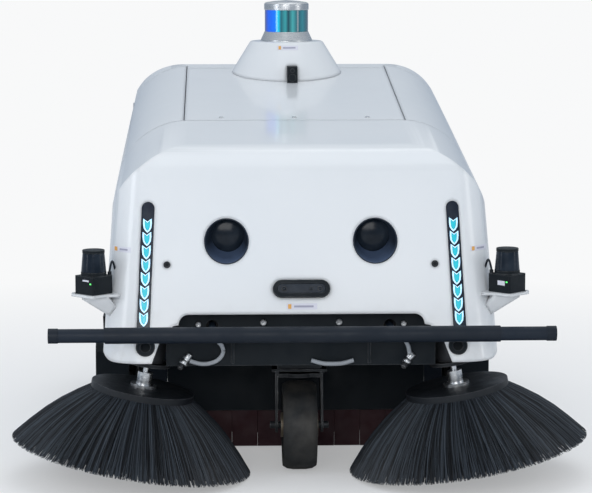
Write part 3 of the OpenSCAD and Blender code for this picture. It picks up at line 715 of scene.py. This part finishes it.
def light_elements():
    """Shield-shaped light elements: a pale rim with a teal core, two strips."""
    bars = tree_of("led_bars")
    low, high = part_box("led_chevrons")
    reach, rise, drop = LIGHT_SIZE
    pitch = (high.z - low.z - rise - drop) / (LIGHT_COUNT - 1)
    half_w, half_h = reach + RIM_OVERHANG, drop
    rim_v, rim_f, core_v, core_f = [], [], [], []
    n = len(SHIELD)
    for s in (-1, 1):
        for i in range(LIGHT_COUNT):
            x = s * (high.x - reach - (LIGHT_COUNT - 1 - i) * pitch * LIGHT_LEAN)
            z = high.z - rise - i * pitch
            base = len(rim_v)
            for w, h, lift in ((1.0, 1.0, -0.0004), (1.0, 1.0, 0.0004), (0.62, 0.74, 0.0004),
                               (0.62, 0.74, -0.0004)):
                rim_v += shield_loop(bars, x, z, half_w * w, half_h * h, lift)
            rim_f += ring_faces(base, (0, 1, 2, 3), n)
            base = len(core_v)
            core_v += shield_loop(bars, x, z, half_w * 0.60, half_h * 0.72, -0.0004)
            core_v += shield_loop(bars, x, z, half_w * 0.50, half_h * 0.62, 0.0007)
            for k in range(n):
                m = (k + 1) % n
                core_f.append((base + k, base + m, base + n + m, base + n + k))
            core_f.append(tuple(range(base + n - 1, base - 1, -1)))
            core_f.append(tuple(range(base + n, base + 2 * n)))
    for name, verts, faces, slot in (("light_rims", rim_v, rim_f, "led_rim"),
                                     ("light_cores", core_v, core_f, "led_light")):
        add_piece(name, face_outwards(mesh_from(name, verts, faces)), slot, "chassis",
                  "led_chevrons", smooth=False)


# ---- small details ----

CORNER_LABEL = (0.392, 0.512)    # x of the right one, and z
LABEL_SIZES = {"pod": (0.040, 0.007), "corner": (0.026, 0.007), "camera": (0.052, 0.008)}
PLATE_LIFT, PRINT_LIFT = 0.0001, 0.0005
CAMERA_LENSES = ((-0.36, 0.0052), (0.20, 0.0036), (0.38, 0.0052))   # share of the width, radius


def labels():
    """Generic labels: a pale plate or an amber dot beside a plain bar, with no lettering."""
    cover = tree_of("front_cover")
    pod = tree_of("sensor_pod")
    pod_low, pod_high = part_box("sensor_pod")
    spots = [("pod", pod, (pod_low.x + pod_high.x) / 2, pod_high.z - 0.014,
              *LABEL_SIZES["pod"])]
    for side, s in (("left", -1), ("right", 1)):
        spots.append(("corner_" + side, cover, s * CORNER_LABEL[0], CORNER_LABEL[1],
                      *LABEL_SIZES["corner"]))
    camera_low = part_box("camera_housing")[0]
    spots.append(("camera", cover, 0.0, camera_low.z - 0.012, *LABEL_SIZES["camera"]))
    for name, tree, x, z, width, height in spots:
        front_patch("label_plate_" + name, "label_pale", "chassis", tree, x, z,
                    width + 2 * height, height * 1.6, PLATE_LIFT, 0.0003)
        front_patch("label_bar_" + name, "label_grey", "chassis", tree,
                    x + 0.6 * height, z, width - 1.2 * height, height * 0.5, PRINT_LIFT)
        front_patch("label_dot_" + name, "label_amber", "chassis", tree, x - width / 2, z,
                    height * 0.9, height * 1.2, PRINT_LIFT)


def camera_lenses():
    """Three small lenses on the stereo camera's window, each a ring and a glass dome."""
    low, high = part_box("camera_glass")
    centre = (low + high) / 2
    glass = tree_of("camera_glass")
    for i, (share, radius) in enumerate(CAMERA_LENSES):
        x = centre.x + share * (high.x - low.x)
        place, normal = front_point(glass, x, centre.z)
        seat = seat_at(place, normal)
        ring = [(0, 0.0001), (radius * 0.7, 0.0001), (radius * 0.75, 0.0008),
                (radius, 0.0008), (radius * 1.05, 0), (radius * 1.05, -0.001), (0, -0.001)]
        turned("camera_ring_%d" % i, ring, "frame_paint", "chassis", seat, sides=32)
        dome = [(0, 0.0009), (radius * 0.35, 0.0007), (radius * 0.66, 0.0002),
                (radius * 0.66, -0.0004), (0, -0.0004)]
        turned("camera_lens_%d" % i, dome, "dark_lens", "chassis", seat, sides=32)


def bolt(name, place, axis, radius, slot, body):
    """Round-headed bolt with a hexagon socket."""
    seat = seat_at(place, axis)
    sides = 24
    rings = ((radius, 0.0), (radius, radius * 0.45), (radius * 0.85, radius * 0.62))
    verts = [seat @ Vector((r * math.cos(a), r * math.sin(a), h))
             for r, h in rings for a in circle(sides)]
    for h in (radius * 0.62, radius * 0.2):
        for a in circle(sides):
            r = radius * 0.5 * math.cos(math.pi / 6) / math.cos((a % (math.pi / 3)) - math.pi / 6)
            verts.append(seat @ Vector((r * math.cos(a), r * math.sin(a), h)))
    faces = band_faces(5, sides)
    faces.append(tuple(range(4 * sides, 5 * sides)))
    faces.append(tuple(reversed(range(sides))))
    return add_piece(name, mesh_from(name, verts, faces), slot, body, smooth=False)


def bolts():
    """Visible bolt heads of the front panel and of the side lidars' brackets."""
    low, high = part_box("front_panel")
    body_low, body_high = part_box("side_lidar_bodies")
    bracket_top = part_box("sensor_brackets")[1].z
    for s in (-1, 1):
        for kind, x, drop, radius in (("panel", 0.083, 0.030, 0.007),
                                      ("stay", 0.225, 0.034, 0.006)):
            bolt("%s_bolt_%d" % (kind, s + 1), (s * x, low.y + 0.0002, high.z - drop), (0, -1, 0),
                 radius, "silver", "chassis")
    for s in (-1, 1):
        bolt("bracket_bolt_%d" % (s + 1),
             (s * (body_high.x + 0.0035), (body_low.y + body_high.y) / 2, bracket_top),
             (0, 0, 1), 0.0035, "silver", "chassis")


HOSE_Y = -0.5405
HOSE_PATHS = {
    "centre": ((0.022, 0.270), (0.045, 0.2635), (0.068, 0.262), (0.092, 0.2635), (0.115, 0.270)),
    "left": ((-0.205, 0.322), (-0.188, 0.317), (-0.174, 0.303), (-0.172, 0.287), (-0.183, 0.272),
             (-0.202, 0.2645), (-0.222, 0.264), (-0.244, 0.270)),
    "right": ((0.212, 0.326), (0.226, 0.316), (0.235, 0.300), (0.238, 0.284)),
}
HOSE_ENDS = {"left": (-0.252, 0.274), "right": (0.238, 0.274)}
FITTING_AXIS = (-0.55, -0.45, -0.70)
FITTING_BODY = ((0, -0.012), (0.0075, -0.012), (0.0085, -0.010), (0.0085, 0.002),
                (0.0068, 0.003), (0.0068, 0.007), (0.0092, 0.008), (0.0092, 0.015),
                (0.0045, 0.017), (0, 0.017))
FITTING_END = ((0, 0.016), (0.0060, 0.016), (0.0062, 0.026), (0.0046, 0.028), (0.0046, 0.022),
               (0, 0.022))


def smooth_path(points, steps=10):
    """Catmull-Rom curve through front-view points, as points in space."""
    ends = [points[0]] + list(points) + [points[-1]]
    made = []
    for p0, p1, p2, p3 in zip(ends, ends[1:], ends[2:], ends[3:]):
        for i in range(steps):
            t = i / steps
            x, z = (0.5 * (2 * b + (c - a) * t + (2 * a - 5 * b + 4 * c - d) * t * t
                           + (3 * b - a - 3 * c + d) * t ** 3)
                    for a, b, c, d in zip(p0, p1, p2, p3))
            made.append((x, HOSE_Y, z))
    return made + [(points[-1][0], HOSE_Y, points[-1][1])]


def hose_runs():
    """Ribbed hoses that loop under the front edge, with a threaded fitting at their ends."""
    for name, points in HOSE_PATHS.items():
        piece = tube("hose_" + name, smooth_path(points), 0.0045, "hose_grey", "chassis",
                     ribs=0.09, sides=14)
        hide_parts("hoses")
    for name, (x, z) in HOSE_ENDS.items():
        seat = seat_at((x, HOSE_Y + 0.004, z), FITTING_AXIS)
        turned("fitting_" + name, FITTING_BODY, "silver", "chassis", seat, sides=32)
        turned("fitting_end_" + name, FITTING_END, "motor_metal", "chassis", seat, sides=32)


def side_curtains():
    """Rubber curtains that close the gap between the roller housing and the side brushes."""
    low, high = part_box("roller_housing")
    for side, s in (("left", -1), ("right", 1)):
        verts = []
        for x in (high.x + 0.0005, high.x + 0.042):
            for y in (low.y + 0.002, low.y + 0.006):
                verts += [(s * x, y, z) for z in (low.z - 0.004, high.z)]
        faces = [(0, 1, 3, 2), (4, 6, 7, 5), (0, 4, 5, 1), (2, 3, 7, 6), (0, 2, 6, 4), (1, 5, 7, 3)]
        if s < 0:
            faces = [tuple(reversed(f)) for f in faces]
        soften(add_piece("side_curtain_" + side, mesh_from("side_curtain_" + side, verts, faces),
                         "rubber_black", "chassis"), 0.0006, 2, 0.8)


LIDAR_HALF = 0.0402       # half of a side lidar's width across its corners
LIDAR_LABELS = {"left": (0.031, 0.0035), "right": (0.022, 0.010)}   # height above the foot, size
CABLE_STEPS = 16


def lidar_details():
    """Status light and a pale label on each side lidar, and a cable at its connector."""
    low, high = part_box("side_lidar_bodies")
    bodies = tree_of("side_lidar_bodies")
    centre_x = high.x - LIDAR_HALF
    for side, s in (("left", -1), ("right", 1)):
        rise, height = LIDAR_LABELS[side]
        front_patch("lidar_label_" + side, "label_pale", "chassis", bodies,
                    s * centre_x - 0.016, low.z + rise, 0.014, height)
        front_patch("lidar_status_" + side, "led_green", "chassis", bodies,
                    s * centre_x - 0.0055, low.z + 0.025, 0.003, 0.003)
        start = Vector((s * (centre_x - 0.0345), (low.y + high.y) / 2, low.z + 0.048))
        points = []
        for i in range(CABLE_STEPS + 1):
            t = i / CABLE_STEPS
            points.append(start + Vector((-s * 0.012 * t, 0.032 * t,
                                          0.020 * math.sin(math.pi * min(1, t * 1.1)))))
        tube("lidar_cable_" + side, points, 0.0024, "rubber_black", "chassis", sides=10)


def drive_wheels():
    """Tyre with tread blocks and a rim in place of each plain drive wheel."""
    for side, s in (("left", -1), ("right", 1)):
        low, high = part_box("drive_wheel_" + side)
        radius = (high.z - low.z) / 2
        width = high.x - low.x
        centre = (low + high) / 2
        seat = Matrix.Translation(centre) @ Matrix.Rotation(math.radians(90) * s, 4, "Y")
        h = width / 2
        tread = radius - 0.006
        tyre = [(radius * 0.64, -h + 0.006), (radius * 0.80, -h), (radius * 0.93, -h + 0.003),
                (tread, -h + 0.014), (tread, h - 0.014), (radius * 0.93, h - 0.003),
                (radius * 0.80, h), (radius * 0.64, h - 0.006), (radius * 0.64, -h + 0.006)]
        turned("tyre_" + side, tyre, "tyre_black", "drive_" + side, seat,
               "drive_wheel_" + side)
        rim = [(0.022, h - 0.022), (0.030, h - 0.012), (radius * 0.40, h - 0.018),
               (radius * 0.52, h - 0.010), (radius * 0.635, h - 0.006),
               (radius * 0.635, -h + 0.008), (radius * 0.60, -h + 0.008),
               (radius * 0.58, h - 0.030), (0.022, h - 0.034), (0.022, h - 0.022)]
        turned("rim_" + side, rim, "motor_metal", "drive_" + side, seat)
        tread_blocks("tread_" + side, seat, tread, radius, h, "drive_" + side)
        hub = [(0, h - 0.008), (0.018, h - 0.009), (0.0215, h - 0.014), (0.0215, h - 0.026),
               (0, h - 0.026)]
        turned("hub_cap_" + side, hub, "silver", "drive_" + side, seat, sides=48)


TREAD_BLOCKS = 36


def tread_blocks(name, seat, base_r, top_r, half, body):
    """Two staggered rows of slanted blocks round a tyre."""
    verts, faces = [], []
    for row in (-1, 1):
        for i in range(TREAD_BLOCKS):
            a = math.tau * (i + (0.5 if row > 0 else 0.0)) / TREAD_BLOCKS
            start = len(verts)
            for r, shrink in ((base_r - 0.001, 1.0), (top_r, 0.86)):
                for u, v in ((-1, -1), (1, -1), (1, 1), (-1, 1)):
                    z = row * half * 0.42 + v * half * 0.36 * shrink
                    b = a + u * shrink * math.tau / TREAD_BLOCKS * 0.34 + 0.05 * z / half * row
                    verts.append(seat @ Vector((r * math.cos(b), r * math.sin(b), z)))
            q = [start + k for k in range(8)]
            faces += [(q[3], q[2], q[1], q[0]), (q[4], q[5], q[6], q[7])]
            faces += [(q[k], q[(k + 1) % 4], q[4 + (k + 1) % 4], q[4 + k]) for k in range(4)]
    mesh = face_outwards(mesh_from(name, verts, faces))
    soften(add_piece(name, mesh, "tyre_black", body), 0.0008, 2, 0.5)


# ---- stage ----

def area_light(name, place, aim, size, power, tint):
    light = bpy.data.lights.new(name, "AREA")
    light.shape = "RECTANGLE"
    light.size, light.size_y = size
    light.energy = power
    light.color = tint
    obj = link_new(name, light)
    obj.location = place
    obj.rotation_euler = (Vector(aim) - Vector(place)).to_track_quat("-Z", "Y").to_euler()


BACKDROP = (0.94, 0.945, 0.95, 1)
SKY_STRENGTH = 0.72
FLOOR_HALF = 14
FLOOR_LIFT = 0.35        # how much of the backdrop's glow the floor has near the machine
FLOOR_FADE = (0.6, 2.6)  # distances between which the floor turns into the backdrop
LIGHTS = (               # name, place, aim, size, power, tint
    ("top_box", (0.2, -0.4, 3.8), (0, 0.1, 0.4), (2.6, 2.2), 14, (1, 1, 1)),
    ("front_box", (-0.7, -5.4, 2.0), (0, -0.4, 0.4), (3.0, 1.5), 66, (1.0, 0.98, 0.95)),
    ("left_box", (-3.2, -1.8, 1.7), (0, -0.2, 0.5), (0.7, 2.6), 20, (0.93, 0.96, 1.0)),
    ("right_box", (3.4, -1.4, 1.6), (0, -0.2, 0.5), (0.7, 2.4), 14, (1.0, 0.98, 0.95)),
    ("back_box", (0.6, 2.6, 4.6), (0, 0.2, 0.5), (2.6, 1.4), 16, (1, 1, 1)),
)
CAMERA_PLACE = (-0.19, -5.725, 1.214)
CAMERA_AIM = (0.0070, 0.0, 0.450)
CAMERA_LENS = 146.0


def stage():
    """Pale floor that fades into a pale backdrop, a soft sky and soft boxes."""
    corners = [(x * FLOOR_HALF, y * FLOOR_HALF, 0) for x, y in ((-1, -1), (1, -1), (1, 1), (-1, 1))]
    mesh = mesh_from("floor", corners, [(0, 1, 2, 3)])
    floor = link_new("floor", mesh)
    s = Shader("pale_floor")
    s.set(Base_Color=s.mix(s.noise(0.6), rgb(0.86, 0.86, 0.87), rgb(0.90, 0.90, 0.90)),
          Roughness=0.9, Specular_IOR_Level=0.1)
    s.bump(s.noise(90.0), 0.05, 0.001)
    away = s.tree.nodes.new("ShaderNodeVectorMath")
    away.operation = "LENGTH"
    s.tree.links.new(s.coord, away.inputs[0])
    seen = s.node("ShaderNodeLightPath").outputs["Is Camera Ray"]
    fade = s.math("MULTIPLY", s.ramp(away.outputs["Value"], FLOOR_LIFT, 1.0, *FLOOR_FADE), seen)
    blend_into(s.tree, s.bsdf.outputs[0], fade)
    mesh.materials.append(s.mat)
    sky()
    for light in LIGHTS:
        area_light(*light)


def blend_into(tree, surface, factor):
    """Mixes a surface with a plain glow of the backdrop's colour."""
    glow = tree.nodes.new("ShaderNodeEmission")
    glow.inputs["Color"].default_value = BACKDROP
    mix = tree.nodes.new("ShaderNodeMixShader")
    tree.links.new(factor, mix.inputs[0])
    tree.links.new(surface, mix.inputs[1])
    tree.links.new(glow.outputs[0], mix.inputs[2])
    tree.links.new(mix.outputs[0], tree.nodes["Material Output"].inputs["Surface"])


def sky():
    """Bluish surroundings that light the scene; the camera itself sees the backdrop colour."""
    world = bpy.data.worlds.new("studio")
    bpy.context.scene.world = world
    world.use_nodes = True
    tree = world.node_tree
    background = tree.nodes["Background"]
    coord = tree.nodes.new("ShaderNodeTexCoord")
    split = tree.nodes.new("ShaderNodeSeparateXYZ")
    ramp = tree.nodes.new("ShaderNodeValToRGB")
    path = tree.nodes.new("ShaderNodeLightPath")
    seen = tree.nodes.new("ShaderNodeBackground")
    mix = tree.nodes.new("ShaderNodeMixShader")
    tree.links.new(coord.outputs["Generated"], split.inputs[0])
    tree.links.new(split.outputs["Z"], ramp.inputs[0])
    ramp.color_ramp.elements[0].color = (0.38, 0.47, 0.60, 1)
    ramp.color_ramp.elements[0].position = 0.0
    ramp.color_ramp.elements[1].color = (0.86, 0.93, 1.0, 1)
    ramp.color_ramp.elements[1].position = 0.75
    tree.links.new(ramp.outputs[0], background.inputs["Color"])
    background.inputs["Strength"].default_value = SKY_STRENGTH
    seen.inputs["Color"].default_value = BACKDROP
    tree.links.new(path.outputs["Is Camera Ray"], mix.inputs[0])
    tree.links.new(background.outputs[0], mix.inputs[1])
    tree.links.new(seen.outputs[0], mix.inputs[2])
    tree.links.new(mix.outputs[0], tree.nodes["World Output"].inputs["Surface"])


def add_camera():
    """Long lens slightly left of the machine, looking a little down at it."""
    data = bpy.data.cameras.new("camera")
    data.sensor_width = 36.0
    data.lens = CAMERA_LENS
    camera = link_new("camera", data)
    camera.location = CAMERA_PLACE
    camera.rotation_euler = (Vector(CAMERA_AIM) - Vector(CAMERA_PLACE)).to_track_quat(
        "-Z", "Y").to_euler()
    bpy.context.scene.camera = camera


build_covers()
for brush_side in ("left", "right"):
    brush_skirt(brush_side)
roller_rows()
flap_strips()
lamp_funnels()
light_elements()
labels()
camera_lenses()
bolts()
hose_runs()
side_curtains()
lidar_details()
drive_wheels()
dress_cad()
stage()
add_camera()
bpy.context.scene.view_settings.view_transform = "Standard"
